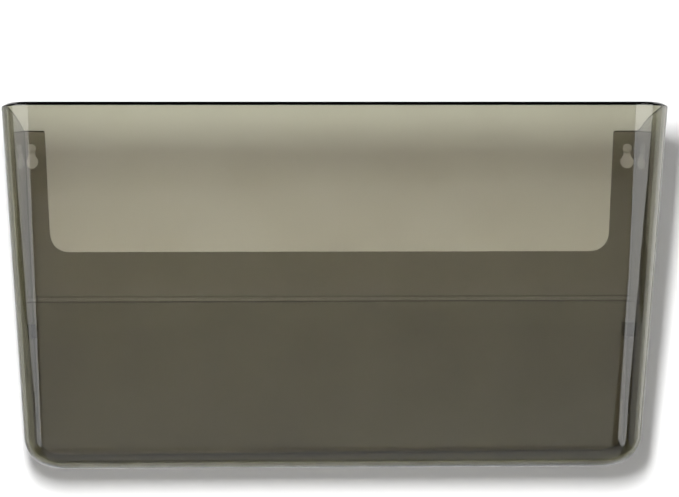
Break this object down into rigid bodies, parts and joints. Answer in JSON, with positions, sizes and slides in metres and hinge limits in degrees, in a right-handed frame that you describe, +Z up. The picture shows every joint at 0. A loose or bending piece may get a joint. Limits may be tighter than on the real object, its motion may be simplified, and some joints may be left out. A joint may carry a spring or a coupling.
{
  "type": "hanging document pocket",
  "caption": "Wall-hung pocket for letter-size papers: a see-through smoke-tinted moulding with an open top, a cut-out back and keyholed ears that hang on screws in wall plugs.",
  "frame": {"origin": "on the wall's face, midway between the axes of the two screws that the pocket hangs on", "axes": "+X along the pocket's width to the viewer's right, +Y into the wall, +Z up"},
  "size_m": [0.33, 0.1301, 0.1838],
  "materials": {
    "smoke_plastic": "glossy see-through smoke tint",
    "white_lacquer": "white lacquer on steel",
    "plug_nylon": "dull moulded nylon"
  },
  "bodies": {
    "wall_fixings": {"left_screw": "white_lacquer", "right_screw": "white_lacquer", "left_wall_plug": "plug_nylon", "right_wall_plug": "plug_nylon"},
    "pocket": {"pocket_shell": "smoke_plastic"}
  },
  "joints": [
    {"name": "lift_off", "type": "slide", "parent": "wall_fixings", "child": "pocket", "axis": [0, 0, 1], "range_m": [0, 0.0069]}
  ]
}
